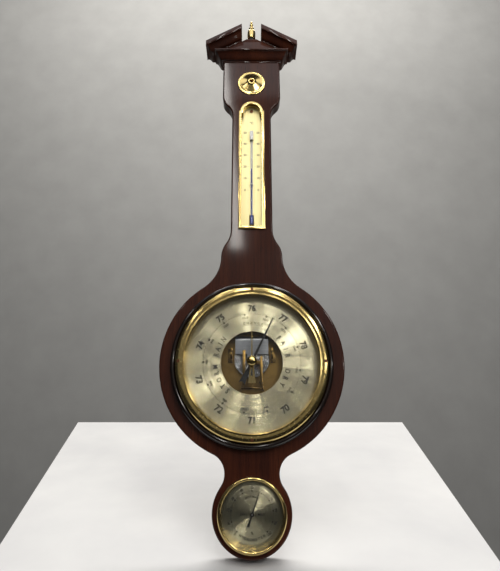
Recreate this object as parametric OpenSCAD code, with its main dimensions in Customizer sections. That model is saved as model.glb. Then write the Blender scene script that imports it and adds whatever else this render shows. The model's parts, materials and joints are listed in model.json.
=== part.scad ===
// Banjo-shaped aneroid weather station: an open-movement barometer, a thermometer and a hygrometer
// in a wooden wall case with a broken pediment. The wall is the plane Y = 0, the front faces -Y and
// +Z is up. The origin is the centre of the hanger's hole. "Depth" is a height above the wall.

/* [Case] */
// Thickness of the wooden case board
board_t = 18; // [15:0.5:26]
// Width of bare wood around the ring moulding
border_w = 12; // [5:0.5:20]
// Width of the turned ring moulding
moulding_w = 6; // [5:0.25:12]
// Height of the ring moulding above the board
moulding_h = 9; // [5:0.5:11]
// Width of bare wood around the hygrometer
lobe_border = 5.75; // [3:0.25:12]
// Gap between the large round and the small one, bridged by the waist
waist_gap = 6; // [2:0.5:20]
// Radius of the hollow at each side of the waist
waist_r = 20; // [12:0.5:30]
// Width of the shoulder above the large round
shoulder_w = 71; // [60:1:90]
// Rise of that shoulder above the top of the large round
shoulder_rise = 20; // [10:0.5:40]
// Height of the curve from the shoulder to the neck
foot_curve_h = 34; // [20:0.5:60]
// Wood beside the thermometer, at each side
neck_border = 8.7; // [5:0.1:15]
// Width of the head
head_w = 75; // [66:0.5:95]
// Height of the curve from the neck to the head
head_curve_h = 29; // [20:0.5:50]
// Height of the straight head above that curve
head_h = 68; // [60:0.5:100]

/* [Pediment] */
// Slope of the pediment in degrees
rake_angle = 30.8; // [20:0.2:40]
// Width of the opening between the two raking mouldings
break_w = 26; // [22:0.5:40]
// Height of the level cornice
cornice_h = 14.8; // [8:0.1:20]
// Projection of the level cornice
cornice_out = 11.5; // [6:0.1:18]
// Height of the curved part of the raking moulding
rake_crown_h = 12; // [5:0.1:15]
// Thickness of the fillet on top of the raking moulding
rake_fillet_t = 4.8; // [2:0.1:8]
// Projection of the raking moulding
rake_out = 12; // [6:0.1:18]
// Radius of the finial's seat
finial_seat_r = 6.8; // [5:0.1:9]
// Height of the finial's seat
finial_seat_h = 3; // [2:0.1:6]
// Largest radius of the finial
finial_r = 5.6; // [4:0.1:8]
// Height of the finial
finial_h = 36; // [30:0.5:60]

/* [Rosette] */
// Radius of the rosette
rosette_r = 18.5; // [12:0.25:24]
// Height of the rosette above the board
rosette_h = 6; // [3:0.25:10]
// Height of the rosette's centre above the head's curve
rosette_rise = 20; // [19:0.5:40]
// Radius of the pin that holds the rosette
rosette_pin_r = 1.25; // [0.8:0.05:2]

/* [Thermometer] */
// Width of the thermometer's frame
thermo_w = 32; // [26:0.5:44]
// Length of the thermometer's frame
thermo_len = 177; // [150:1:220]
// Width of the frame's front lip
thermo_lip = 3.2; // [2:0.1:5]
// Height of the frame above the board
thermo_proud = 2.5; // [1:0.1:5]
// Depth of the pocket behind the thermometer
thermo_pocket = 8; // [5:0.25:11]
// Outer radius of the glass tube
tube_r = 1.5; // [1.4:0.05:2.5]
// Radius of the capillary in the glass tube
capillary_r = 0.7; // [0.4:0.05:0.9]
// Length of the glass tube above its bulb
tube_len = 127; // [100:1:135]
// Height of the liquid above the bulb's centre
column_h = 73; // [15:0.5:95]
// Outer radius of the bulb
bulb_r = 2.6; // [2.4:0.05:4]
// Height of the bulb's lower end above the frame's foot
bulb_rise = 9.5; // [8:0.5:20]
// Length of the bulb's straight part
bulb_len = 9; // [4:0.5:14]

/* [Barometer] */
// Outer radius of the large bezel
bezel_r = 81.25; // [76:0.25:95]
// Height of the large bezel above the board
bezel_h = 13; // [11:0.25:18]
// Width of the bezel's front face
bezel_w = 9.75; // [8:0.25:11]
// Radius of the window in the dial
window_r = 33.3; // [31.5:0.1:45]
// Thickness of the glass
glass_t = 2; // [1.5:0.1:3]
// Radius of the four bezel screws
bezel_screw_r = 1.1; // [0.8:0.05:1.4]
// Number of bezel screws
bezel_screws_n = 4; // [3:1:8]
// Where the pressure hand points, clockwise from the top
pressure_hand_deg = 26; // [-190:1:125]
// Length of the pressure hand
pressure_hand_len = 53; // [40:0.5:62]
// Length of the set hand
set_hand_len = 50; // [40:0.5:62]
// Radius of the set hand's knob
knob_r = 5.4; // [4:0.1:8]
// Height of the knob
knob_h = 6.5; // [4:0.1:10]
// Radius of the aneroid capsule
capsule_r = 19; // [15:0.25:19.5]

/* [Hygrometer] */
// Outer radius of the small bezel
hygro_bezel_r = 33.75; // [30:0.25:40]
// Height of the small bezel above the board
hygro_bezel_h = 9; // [8:0.25:12]
// Width of the small bezel's rounded front
hygro_bezel_w = 3.5; // [3.5:0.1:6]
// Where the humidity hand points, clockwise from the top
hygro_hand_deg = 20.5; // [-135:0.5:135]
// Length of the humidity hand
hygro_hand_len = 23.5; // [16:0.5:25]

/* [Hanger] */
// Radius of the hanger's round hole
hanger_hole_r = 4.5; // [3.5:0.25:5.5]
// Width of the hanger's slot
hanger_slot_w = 4.4; // [3:0.1:5]
// Width of the hanger plate
hanger_w = 22; // [18:0.5:28]
// Length of the hanger plate
hanger_len = 42; // [36:0.5:50]

/* [Hidden] */
$fn = 96;

// Clearances, per side
fit = 0.05;
loose = 0.3;
touch = 0.02;
sheet_t = 0.8;
past = 1;
arc_n = 14;

// Heights above the dial's centre
moulding_r = bezel_r + 0.5 + moulding_w;
round_r = moulding_r + border_w;
lobe_r = hygro_bezel_r + lobe_border;
hygro_v = -(round_r + waist_gap + lobe_r);
shoulder_v = round_r + shoulder_rise;
neck_foot_v = shoulder_v + foot_curve_h;
neck_hw = thermo_w / 2 + neck_border;
thermo_v = neck_foot_v + 0.2;
thermo_top_v = thermo_v + thermo_len;
head_overlap = 19;
neck_top_v = thermo_top_v - head_overlap;
head_v = neck_top_v + head_curve_h;
rosette_v = head_v + rosette_rise;
board_top_v = head_v + head_h;
// The hanger sits behind the rosette, and its hole is the origin
dial_z = -rosette_v;
hygro_z = dial_z + hygro_v;
thermo_z = dial_z + thermo_v;
board_top_z = dial_z + board_top_v;

// Hollow at the waist, tangent to both rounds
waist_a = round_r + waist_r;
waist_b = lobe_r + waist_r;
waist_v = -(waist_a * waist_a - waist_b * waist_b + hygro_v * hygro_v) / (2 * -hygro_v);
waist_x = sqrt(waist_a * waist_a - waist_v * waist_v);
// Hollow below the shoulder, tangent to the large round
shoulder_hw = shoulder_w / 2;
sweep_r = (shoulder_hw * shoulder_hw + shoulder_v * shoulder_v - round_r * round_r)
    / (2 * (round_r - shoulder_hw));
sweep_x = shoulder_hw + sweep_r;
sweep_turn = atan2(shoulder_v, sweep_x);

// Depths of the barometer's pieces above the wall
front = board_t;
cover_t = 1.2;
can_back = cover_t + 0.3;
can_front = front + 0.6;
base_back = can_back + sheet_t;
base_t = 1.2;
leaf_t = 1.2;
leaf_back = base_back + base_t;
capsule_back = leaf_back + leaf_t;
dial_back = can_front;
// From the upper bridge down: drum, hairspring, upper leaf, stud and capsule
bridge_t = 0.8;
bridge_front = dial_back - 1.6;
drum_t = 1.6;
drum_back = bridge_front - bridge_t - 0.3 - drum_t;
hair_t = 0.6;
hair_back = drum_back - 0.1 - hair_t;
leaf_front = hair_back - 0.4 - leaf_t;
stud_h = 1.8;
capsule_t = leaf_front - stud_h - capsule_back;
dial_t = 0.8;
dial_front = dial_back + dial_t;
bezel_front = front + bezel_h;
glass_front = bezel_front - 1.2;
glass_back = glass_front - glass_t;
bezel_in_r = bezel_r - bezel_w;
cavity_r = bezel_in_r + 2.6;
can_r = bezel_in_r - 2;
can_flange_r = cavity_r - loose;
bore_r = can_r + loose;
cover_r = can_r + 6;
bezel_screw_pcr = (bezel_r + cavity_r) / 2;
screw_len = 16;
arbor_r = 0.75;
arbor_back = leaf_front - 0.3;
rocker_v = -26;
rocker_depth = leaf_back + 4.5;
rocker_r = 0.9;
rocker_hw = 13;
chain_depth = drum_back + 0.3;
chain_r = 0.2;
bridge_x = 10;
drum_r = 0.8;
hand_t = 0.5;
pressure_depth = dial_front + 1.8;
set_depth = pressure_depth + hand_t + 2.2;
set_shaft_r = 1.2;
capsule_v = 4.2;
adjuster_r = 1.5;

// Depths of the hygrometer's pieces above the wall
hygro_can_r = hygro_bezel_r - hygro_bezel_w;
hygro_floor = 4.2;
hygro_dial_back = front + 0.6;
hygro_dial_front = hygro_dial_back + 0.6;
hygro_front = front + hygro_bezel_h;
hygro_glass_front = hygro_front - 2.2;
hygro_glass_t = 1.5;
hygro_cavity_r = hygro_can_r + 2;
hygro_arbor_r = 0.6;
hygro_hand_depth = hygro_dial_front + 1.2;

// Level cornice and raking cornice
head_hw = head_w / 2;
rake_hw = head_hw + cornice_out;
eaves_hw = rake_hw + rake_out;
apex_z = board_top_z + rake_hw * tan(rake_angle);
finial_z = apex_z - finial_seat_r * tan(rake_angle);
cornice_foot_z = board_top_z - cornice_h;
rake_t = rake_crown_h + rake_fillet_t;

// Points on an arc about c, without the last one
function arc(c, r, a0, a1, n = arc_n) =
    [for (i = [0 : n - 1]) c + r * [cos(a0 + (a1 - a0) * i / n), sin(a0 + (a1 - a0) * i / n)]];

// Two equal arcs that join p to q below it, upright at both ends
function s_curve(p, q) =
    let (dx = q.x - p.x, dy = q.y - p.y, s = sign(dx))
    let (r = (dx * dx + dy * dy) / (4 * abs(dx)), turn = asin(abs(dy) / (2 * r)))
    concat(arc(p + [s * r, 0], r, s < 0 ? 0 : 180, s < 0 ? -turn : 180 + turn),
           arc(q - [s * r, 0], r, s < 0 ? 180 - turn : turn, s < 0 ? 180 : 0));

function mirrored(right) =
    concat(right, [for (i = [len(right) - 1 : -1 : 0]) if (right[i].x > 0) [-right[i].x, right[i].y]]);

// Right half of the case, from the head down, with heights above the dial's centre
function case_right() =
    let (to_waist = atan2(waist_v, waist_x), to_lobe = atan2(hygro_v - waist_v, -waist_x) + 360)
    concat([[head_hw, board_top_v]],
           s_curve([head_hw, head_v], [neck_hw, neck_top_v]),
           s_curve([neck_hw, neck_foot_v], [shoulder_hw, shoulder_v]),
           arc([sweep_x, shoulder_v], sweep_r, 180, 180 + sweep_turn),
           arc([0, 0], round_r, sweep_turn, to_waist, 3 * arc_n),
           arc([waist_x, waist_v], waist_r, 180 + to_waist, to_lobe),
           arc([0, hygro_v], lobe_r, to_lobe - 180, -90, 2 * arc_n),
           [[0, hygro_v - lobe_r]]);

// Thermometer outline, arched at the top with a small step at each side, inset all round by e
arch_step = 2;
function thermo_outline(e) =
    let (hw = thermo_w / 2 - e, ar = thermo_w / 2 - arch_step - e, av = thermo_len - thermo_w / 2 + arch_step)
    concat([[-hw, e], [hw, e], [hw, av - e]],
           arc([0, av], ar, asin(-e / ar), 180 + asin(e / ar), 2 * arc_n),
           [[-ar * cos(asin(e / ar)), av - e], [-hw, av - e]]);

// Crown profile from the wall side out: projection and height
function crown(out, h, n = 10) =
    concat([[0, 0], [out * 0.08, 0], [out * 0.08, h * 0.12]],
           [for (i = [0 : n]) let (t = i / n)
               [out * (0.16 + 0.74 * t), h * (0.12 + 0.72 * (t - sin(360 * t) / 9))]],
           [[out, h * 0.84], [out, h], [0, h]]);

// Places children on the front of the wall at height z, with their Z axis pointing forward
module facing(z) {
    translate([0, 0, z]) rotate([90, 0, 0]) children();
}

module disc(r, from, to) {
    translate([0, 0, from]) cylinder(r = r, h = to - from);
}

module ring(r_in, r_out, from, to) {
    difference() {
        disc(r_out, from, to);
        disc(r_in, from - past, to + past);
    }
}

module plate(points, from, to) {
    translate([0, 0, from]) linear_extrude(height = to - from) polygon(points);
}

// Straight bar between two points of the front view
module bar(p, q, w, from, to) {
    d = q - p;
    translate([p.x, p.y, from])
        rotate([0, 0, atan2(d.y, d.x)])
            translate([0, -w / 2, 0])
                cube([norm(d), w, to - from]);
}

module bezel_holes(r, from, to) {
    for (i = [0 : bezel_screws_n - 1])
        rotate([0, 0, 90 + 360 * i / bezel_screws_n])
            translate([bezel_screw_pcr, 0, 0])
                disc(r, from, to);
}

cover_screws_n = 3;
cover_screw_r = 1.2;
module cover_holes(r, from, to) {
    for (i = [0 : cover_screws_n - 1])
        rotate([0, 0, 90 + 360 * i / cover_screws_n])
            translate([(cover_r + bore_r) / 2, 0, 0])
                disc(r, from, to);
}

hanger_screw_r = 1.5;
hanger_t = 1.5;
module hanger_holes(r, from, to) {
    for (s = [-1, 1])
        translate([0, s * (hanger_len / 2 - 4.5), 0])
            disc(r, from, to);
}

// ---------- Wooden case ----------

module case_board() {
    color("#3a1a10") difference() {
        facing(dial_z) plate(mirrored(case_right()), 0, board_t);
        facing(dial_z) disc(bore_r, -past, board_t + past);
        facing(dial_z) disc(cover_r + loose, -past, cover_t + touch);
        facing(dial_z) bezel_holes(bezel_screw_r, bezel_front - screw_len, board_t + past);
        facing(dial_z) cover_holes(cover_screw_r, 0, cover_t + 6);
        facing(hygro_z) disc(hygro_can_r + loose, hygro_floor, board_t + past);
        facing(thermo_z) plate(thermo_outline(thermo_lip - 1), board_t - thermo_pocket, board_t + past);
        facing(0) translate([-hanger_w / 2 - fit, -hanger_len / 2 - fit, -past])
            cube([hanger_w + 2 * fit, hanger_len + 2 * fit, hanger_t + touch + past]);
        facing(0) disc(hanger_hole_r + 1.5, 0, 9);
        facing(0) translate([-hanger_hole_r - 1.5, 0, 0]) cube([2 * hanger_hole_r + 3, 11, 9]);
        facing(0) hanger_holes(hanger_screw_r, 0, 9);
        facing(0) disc(rosette_pin_r, board_t - 8, board_t + past);
    }
}

module ring_moulding() {
    w = moulding_w;
    h = moulding_h;
    inner = moulding_r - w;
    bead = [for (i = [0 : arc_n]) let (a = 180 * i / arc_n)
        [inner + w / 2 - w / 2 * cos(a), h / 2 + h / 2 * sin(a)]];
    color("#1c0c08") facing(dial_z)
        translate([0, 0, front + touch])
            rotate_extrude()
                polygon(concat([[inner, 0]], bead, [[inner + w, 0]]));
}

// Plan shape that mitres a front moulding against its side returns
module front_mitre(hw, out, low, high) {
    translate([0, 0, low]) linear_extrude(height = high - low)
        polygon([[-hw - out, -board_t - out], [hw + out, -board_t - out], [hw, -board_t], [-hw, -board_t]]);
}

module side_mitre(hw, out, low, high) {
    translate([0, 0, low]) linear_extrude(height = high - low)
        polygon([[hw, 0], [hw + out, 0], [hw + out, -board_t - out], [hw, -board_t]]);
}

// Side moulding that projects in +X from x = hw, with its foot at z
module side_run(points, hw, z, out) {
    translate([hw, 0, z]) rotate([90, 0, 0])
        linear_extrude(height = board_t + out) polygon(points);
}

module cornice_front() {
    color("#4a241a") intersection() {
        translate([-head_hw - cornice_out, -board_t, cornice_foot_z])
            rotate([90, 0, 90])
                linear_extrude(height = 2 * (head_hw + cornice_out))
                    polygon([for (p = crown(cornice_out, cornice_h)) [-p.x, p.y]]);
        front_mitre(head_hw, cornice_out, cornice_foot_z, board_top_z);
    }
}

module cornice_side() {
    intersection() {
        side_run(crown(cornice_out, cornice_h), head_hw, cornice_foot_z, cornice_out);
        side_mitre(head_hw, cornice_out, cornice_foot_z, board_top_z);
    }
}

module cornice_right() {
    color("#46221a") cornice_side();
}

module cornice_left() {
    color("#46221a") mirror([1, 0, 0]) cornice_side();
}

module tympanum() {
    color("#32160e") translate([0, 0, touch]) rotate([90, 0, 0])
        linear_extrude(height = board_t)
            polygon([[-rake_hw, board_top_z], [rake_hw, board_top_z],
                     [finial_seat_r, finial_z], [-finial_seat_r, finial_z]]);
}

// Right raking moulding: the crown on the front, the solid behind it and the fillet over both
module rake() {
    slope_len = eaves_hw / cos(rake_angle) + rake_t;
    intersection() {
        union() {
            translate([0, 0, apex_z + 2 * touch]) rotate([0, rake_angle, 0]) {
                translate([0, -board_t - rake_out, rake_crown_h])
                    cube([slope_len, board_t + rake_out, rake_fillet_t]);
            }
            intersection() {
                translate([0, 0, apex_z + 2 * touch]) rotate([0, rake_angle, 0]) {
                    translate([-rake_t, -board_t, 0])
                        cube([slope_len, board_t, rake_t - touch]);
                    translate([-rake_t, -board_t, 0])
                        rotate([90, 0, 90])
                            linear_extrude(height = slope_len)
                                polygon([for (p = crown(rake_out, rake_crown_h + touch)) [-p.x, p.y]]);
                }
                translate([0, 0, board_top_z - eaves_hw]) linear_extrude(height = 4 * eaves_hw)
                    polygon([[0, 0], [0, -board_t - rake_out], [rake_hw + rake_out, -board_t - rake_out],
                             [rake_hw, -board_t], [rake_hw, 0]]);
            }
        }
        translate([break_w / 2, -board_t - rake_out, board_top_z - eaves_hw])
            cube([eaves_hw - break_w / 2, board_t + rake_out, 4 * eaves_hw]);
    }
}

// Right return of the raking moulding, under the fillet and mitred to the front crown
module rake_return() {
    slope = tan(rake_angle);
    points = [for (p = crown(rake_out, rake_crown_h - touch))
        [p.x, (rake_hw * slope) - (rake_hw + p.x) * slope + p.y / cos(rake_angle) + 2 * touch]];
    intersection() {
        side_run(points, rake_hw + touch, board_top_z, rake_out);
        translate([touch, 0, 0]) side_mitre(rake_hw, rake_out, board_top_z - eaves_hw, apex_z);
    }
}

module rake_right() {
    color("#3c1c14") rake();
}

module rake_left() {
    color("#3c1c14") mirror([1, 0, 0]) rake();
}

module rake_return_right() {
    color("#46221a") rake_return();
}

module rake_return_left() {
    color("#46221a") mirror([1, 0, 0]) rake_return();
}

// ---------- Brass ornaments ----------

module finial_seat() {
    color("#241008") translate([0, -board_t / 2, finial_z + 2 * touch])
        cylinder(r = finial_seat_r, h = finial_seat_h);
}

// Turned outline as radius and height, each as a share of the finial's own size
finial_turning = [[0, 0], [0.72, 0], [0.72, 0.03], [0.6, 0.05], [0.62, 0.08], [0.9, 0.14], [1, 0.22],
                  [1, 0.42], [0.9, 0.5], [0.62, 0.55], [0.5, 0.58], [0.66, 0.61], [0.66, 0.65], [0.42, 0.68],
                  [0.34, 0.74], [0.44, 0.79], [0.44, 0.83], [0.26, 0.87], [0.3, 0.92], [0.22, 0.97], [0, 1]];

module finial() {
    color("#c9b46a") translate([0, -board_t / 2, finial_z + finial_seat_h + 3 * touch])
        rotate_extrude()
            polygon([for (p = finial_turning) [p[0] * finial_r, p[1] * finial_h]]);
}

rosette_turning = [[0, 0.12], [0.115, 0.12], [0.13, 0.86], [0.17, 1], [0.24, 1], [0.29, 0.86],
                   [0.33, 0.8], [0.6, 0.46], [0.88, 0.16], [0.92, 0.19], [0.97, 0.15], [1, 0.07],
                   [1, 0], [0, 0]];

module rosette() {
    color("#c8b070") facing(0) translate([0, 0, front + touch]) difference() {
        rotate_extrude() polygon([for (p = rosette_turning) [p[0] * rosette_r, p[1] * rosette_h]]);
        disc(rosette_pin_r + fit, -past, rosette_h);
    }
}

module rosette_pin() {
    seat = front + touch + 0.12 * rosette_h;
    color("#6a5a30") facing(0) {
        disc(rosette_pin_r, front - 7.5, seat + touch);
        disc(rosette_pin_r + 0.6, seat + touch, seat + 1.1);
    }
}

// ---------- Thermometer ----------

plate_back = front - thermo_pocket + touch;
plate_front = plate_back + 1;
bulb_top = bulb_rise + bulb_len;
backing_hw = tube_r - 0.1;
tube_depth = plate_front + 0.7 + tube_r;
holder_h = 13;
holder_v = bulb_rise + tube_len - holder_h;
clip_v = bulb_rise + 0.4 * tube_len;
screw_v = thermo_len - 9;

module thermometer_frame() {
    color("#c2a860") facing(thermo_z) difference() {
        union() {
            plate(thermo_outline(0), front + touch, front + thermo_proud);
            plate(thermo_outline(thermo_lip - 1 + fit), plate_back, front + 0.5);
        }
        plate(thermo_outline(thermo_lip), plate_back - past, front + thermo_proud + past);
    }
}

module thermometer_plate() {
    color("#dccb86") facing(thermo_z) difference() {
        plate(thermo_outline(thermo_lip + fit), plate_back, plate_front);
        translate([0, screw_v, 0]) disc(1.25, plate_back - past, plate_front + past);
        translate([-bulb_r - loose, bulb_rise - bulb_r, plate_back - past])
            cube([2 * (bulb_r + loose), bulb_len + 2 * bulb_r, 1 + 2 * past]);
    }
}

module thermometer_screw() {
    color("#a89048") facing(thermo_z) translate([0, screw_v, 0]) difference() {
        union() {
            disc(1.2, plate_back, plate_front + 0.2);
            disc(2.2, plate_front + touch, plate_front + 1);
        }
        translate([-3, -0.3, plate_front + 0.55]) cube([6, 0.6, 1]);
    }
}

// Upright rod at the tube's place, from height a to height b
module tube_rod(r, a, b) {
    translate([0, a, tube_depth]) rotate([-90, 0, 0]) cylinder(r = r, h = b - a);
}

// Rod at the tube's place with round ends, from height a to height b
module rounded_rod(r, a, b) {
    tube_rod(r, a, b);
    for (v = [a, b])
        translate([0, v, tube_depth])
            sphere(r = r);
}

module thermometer_tube() {
    color("#cfd8da") facing(thermo_z) difference() {
        union() {
            tube_rod(tube_r, bulb_top, bulb_rise + tube_len);
            rounded_rod(bulb_r, bulb_rise, bulb_top);
        }
        tube_rod(capillary_r, bulb_top, bulb_rise + tube_len - 2);
        rounded_rod(bulb_r - 0.5, bulb_rise, bulb_top);
    }
}

module thermometer_liquid() {
    color("#4a5cc0") facing(thermo_z) union() {
        tube_rod(capillary_r - fit, bulb_top, bulb_rise + column_h);
        rounded_rod(bulb_r - 0.55, bulb_rise, bulb_top);
    }
}

module tube_backing() {
    foot = bulb_top + bulb_r + 1;
    color("#ecebe2") facing(thermo_z) translate([-backing_hw, foot, plate_front + touch])
        cube([2 * backing_hw, bulb_rise + tube_len - foot, 0.6]);
}

// Saddle over the tube, w wide and h high, with its foot at height v
module saddle(w, h, v) {
    difference() {
        translate([-w / 2, v, plate_front + touch]) cube([w, h, tube_depth + tube_r - plate_front + 0.5]);
        tube_rod(tube_r + fit, v - past, v + h + past);
        translate([-tube_r - fit, v - past, plate_front])
            cube([2 * (tube_r + fit), h + 2 * past, tube_r + 0.7]);
    }
}

module tube_holder() {
    color("#efe9cf") facing(thermo_z) saddle(2 * tube_r + 1.4, holder_h, holder_v);
}

module tube_clip() {
    color("#b89b4c") facing(thermo_z) saddle(2 * tube_r + 1, 1.4, clip_v);
}

// ---------- Barometer housing ----------

module bezel() {
    lip = bezel_in_r;
    outline = concat([[cavity_r, front + touch], [bezel_r, front + touch], [bezel_r, bezel_front - 4.5]],
        [for (i = [1 : 6]) [bezel_r - 4.5 * (1 - cos(15 * i)), bezel_front - 4.5 + 3.7 * sin(15 * i)]],
        [[lip + 2.4, bezel_front], [lip + 0.8, bezel_front], [lip, bezel_front - 0.8],
         [lip, glass_front + touch], [cavity_r, glass_front + touch]]);
    color("#b3914a") facing(dial_z) difference() {
        rotate_extrude() polygon(outline);
        bezel_holes(bezel_screw_r + fit, front - past, bezel_front + past);
    }
}

module bezel_screws() {
    head = bezel_front - 0.02;
    color("#7a6236") facing(dial_z) for (i = [0 : bezel_screws_n - 1])
        rotate([0, 0, 90 + 360 * i / bezel_screws_n]) translate([bezel_screw_pcr, 0, 0])
            difference() {
                union() {
                    disc(bezel_screw_r, bezel_front - screw_len, head + 0.2);
                    disc(bezel_screw_r + 0.5, head + 0.05, head + 0.7);
                }
                translate([-2, -0.2, head + 0.35]) cube([4, 0.4, 1]);
            }
}

module glass() {
    color("#dfe8e8") facing(dial_z) ring(set_shaft_r + fit, cavity_r - fit, glass_back, glass_front);
}

module reflector_ring() {
    color("#cbb068") facing(dial_z) rotate_extrude()
        polygon([[cavity_r - fit, dial_front + touch], [cavity_r - fit, glass_back - touch],
                 [bezel_in_r + 0.3, glass_back - touch], [bezel_in_r - 1.4, dial_front + touch]]);
}

module dial() {
    color("#c9c3a2") facing(dial_z) ring(window_r, can_flange_r, dial_back + touch, dial_front);
}

module movement_can() {
    color("#8d8a80") facing(dial_z) difference() {
        union() {
            disc(can_r, can_back, front + 0.3);
            disc(can_flange_r, front + touch, can_front);
        }
        disc(can_r - sheet_t, can_back + sheet_t, can_front + past);
        translate([0, capsule_v, 0]) disc(adjuster_r + fit, can_back - past, can_back + sheet_t + past);
    }
}

module base_plate() {
    color("#8d6f38") facing(dial_z) difference() {
        disc(window_r + 14, base_back + touch, leaf_back);
        translate([0, capsule_v, 0]) disc(adjuster_r + fit, base_back - past, leaf_back + past);
    }
}

// ---------- Aneroid movement ----------

ripples = 8;
ripple_n = 48;
module capsule() {
    mid = capsule_t / 2;
    top = [for (i = [ripple_n : -1 : 0]) let (t = i / ripple_n)
        [capsule_r * t, capsule_back + mid + (mid - 0.9) * (1 - 0.25 * t)
            + (t > 0.2 ? 0.4 * sin(360 * ripples * (t - 0.2) / 0.8) : 0)]];
    color("#b9bcc0") facing(dial_z) translate([0, capsule_v, 0]) union() {
        rotate_extrude()
            polygon(concat([[0, capsule_back + touch], [capsule_r - 1, capsule_back + touch],
                            [capsule_r, capsule_back + mid - 0.5],
                            [capsule_r + 0.4, capsule_back + mid]], top));
        disc(1.8, capsule_back + mid, leaf_front - touch);
    }
}

spring_hw = 18;
leaf_low = 9.5;
tongue_hw = 5;
tongue_low = capsule_v - 1.9;
module main_spring() {
    bend_r = (leaf_front + leaf_t - leaf_back) / 2;
    bend_v = capsule_v + capsule_r + 1.2;
    bend_c = leaf_back + bend_r;
    color("#8f9498") facing(dial_z) difference() {
        union() {
            translate([-spring_hw, capsule_v - 8, leaf_back + touch])
                cube([2 * spring_hw, bend_v - capsule_v + 8, leaf_t - touch]);
            translate([-spring_hw, leaf_low, leaf_front])
                cube([2 * spring_hw, bend_v - leaf_low, leaf_t]);
            translate([-tongue_hw, tongue_low, leaf_front])
                cube([2 * tongue_hw, leaf_low - tongue_low + past, leaf_t]);
            intersection() {
                translate([-spring_hw, bend_v, bend_c]) rotate([0, 90, 0]) difference() {
                    cylinder(r = bend_r - touch, h = 2 * spring_hw);
                    translate([0, 0, -past]) cylinder(r = bend_r - leaf_t, h = 2 * spring_hw + 2 * past);
                }
                translate([-spring_hw - past, bend_v - 0.01, leaf_back - past])
                    cube([2 * spring_hw + 2 * past, bend_r + past, 2 * bend_r + 2 * past]);
            }
        }
        translate([0, capsule_v, 0]) disc(adjuster_r + fit, leaf_back - past, capsule_back + touch);
    }
}

bracket_x = spring_hw + 4.2;
module spring_brackets() {
    color("#b08a44") facing(dial_z) for (s = [-1, 1])
        translate([s * bracket_x, 0, 0]) union() {
            translate([-0.9, leaf_low - 8, leaf_back + touch]) cube([1.8, 15, leaf_front - leaf_back]);
            translate([s > 0 ? 0 : -4, leaf_low - 8, leaf_back + touch]) cube([4, 15, 1]);
            translate([-0.9, leaf_low - 0.5, leaf_front]) rotate([0, 90, 0]) cylinder(r = 4.5, h = 1.8);
        }
}

module rocker_brackets() {
    color("#b08a44") facing(dial_z) for (s = [-1, 1])
        translate([s * (rocker_hw - 0.8), rocker_v, 0]) difference() {
            translate([-0.7, -2.2, leaf_back + touch]) cube([1.4, 4.4, rocker_depth - leaf_back + 1.8]);
            translate([-2, 0, rocker_depth]) rotate([0, 90, 0]) cylinder(r = rocker_r + fit, h = 4);
        }
}

post_v = -19.5;
module lower_bridge() {
    color("#b8914a") facing(dial_z) difference() {
        union() {
            translate([bridge_x, post_v, 0]) disc(2, leaf_back + touch, bridge_front - bridge_t);
            bar([bridge_x, post_v], [bridge_x, 0], 3, arbor_back, arbor_back + bridge_t);
            bar([bridge_x + 1.5, 0], [-2.4, 0], 4, arbor_back, arbor_back + bridge_t);
        }
        disc(arbor_r + fit, arbor_back - past, arbor_back + bridge_t + past);
    }
}

module upper_bridge() {
    color("#c09c54") facing(dial_z) difference() {
        union() {
            bar([bridge_x, rocker_v], [bridge_x, 7], 2.4, bridge_front - bridge_t + touch, bridge_front);
            bar([bridge_x + 1.2, 0], [-2.4, 0], 4, bridge_front - bridge_t + touch, bridge_front);
        }
        disc(arbor_r + fit, bridge_front - 2 * bridge_t, bridge_front + past);
    }
}

crank_x = -8.5;
crank_len = 4;
chain_arm = chain_depth + 0.6 - rocker_depth;
lever_gap = 0.4;
lever_t = 0.8;
module rocking_arbor() {
    color("#c8a85c") facing(dial_z) translate([0, rocker_v, rocker_depth]) union() {
        translate([-rocker_hw, 0, 0]) rotate([0, 90, 0]) cylinder(r = rocker_r, h = 2 * rocker_hw);
        translate([crank_x - 0.6, 0, -0.6]) cube([1.2, crank_len, 1.2]);
        translate([drum_r - 0.5, -0.5, 0]) cube([1, 1, chain_arm]);
    }
}

lever_v = rocker_v + crank_len;
lever_back = leaf_front + leaf_t + lever_gap;
module main_lever() {
    color("#a98744") facing(dial_z) union() {
        bar([crank_x, lever_v - 1.5], [crank_x, leaf_low + 4], 3, lever_back, lever_back + lever_t);
        translate([crank_x, lever_v, 0]) disc(0.5, rocker_depth + rocker_r, lever_back + lever_t / 2);
    }
}

module chain() {
    color("#d6c27a") facing(dial_z) translate([drum_r, rocker_v + 0.7, chain_depth])
        rotate([-90, 0, 0]) cylinder(r = chain_r, h = -rocker_v - 1.4);
}

// Flat spiral strip between two radii
module spiral(r0, r1, turns, w, from, to, n = 24) {
    steps = round(turns * n);
    side = [for (i = [0 : steps]) let (a = 360 * i / n, r = r0 + (r1 - r0) * i / steps)
        [r * cos(a), r * sin(a)]];
    far = [for (i = [steps : -1 : 0]) side[i] + w * [cos(360 * i / n), sin(360 * i / n)]];
    plate(concat(side, far), from, to);
}

module hairspring() {
    color("#5a6a9a") facing(dial_z) spiral(arbor_r + 0.6, 4.6, 4, 0.15, hair_back, hair_back + hair_t);
}

module centre_arbor() {
    color("#b9b9b4") facing(dial_z) union() {
        disc(arbor_r, arbor_back - 0.6, pressure_depth + hand_t + 0.2);
        disc(drum_r + touch, drum_back, drum_back + drum_t);
        disc(arbor_r + 0.5, hair_back - 0.2, drum_back + touch);
    }
}

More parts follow.
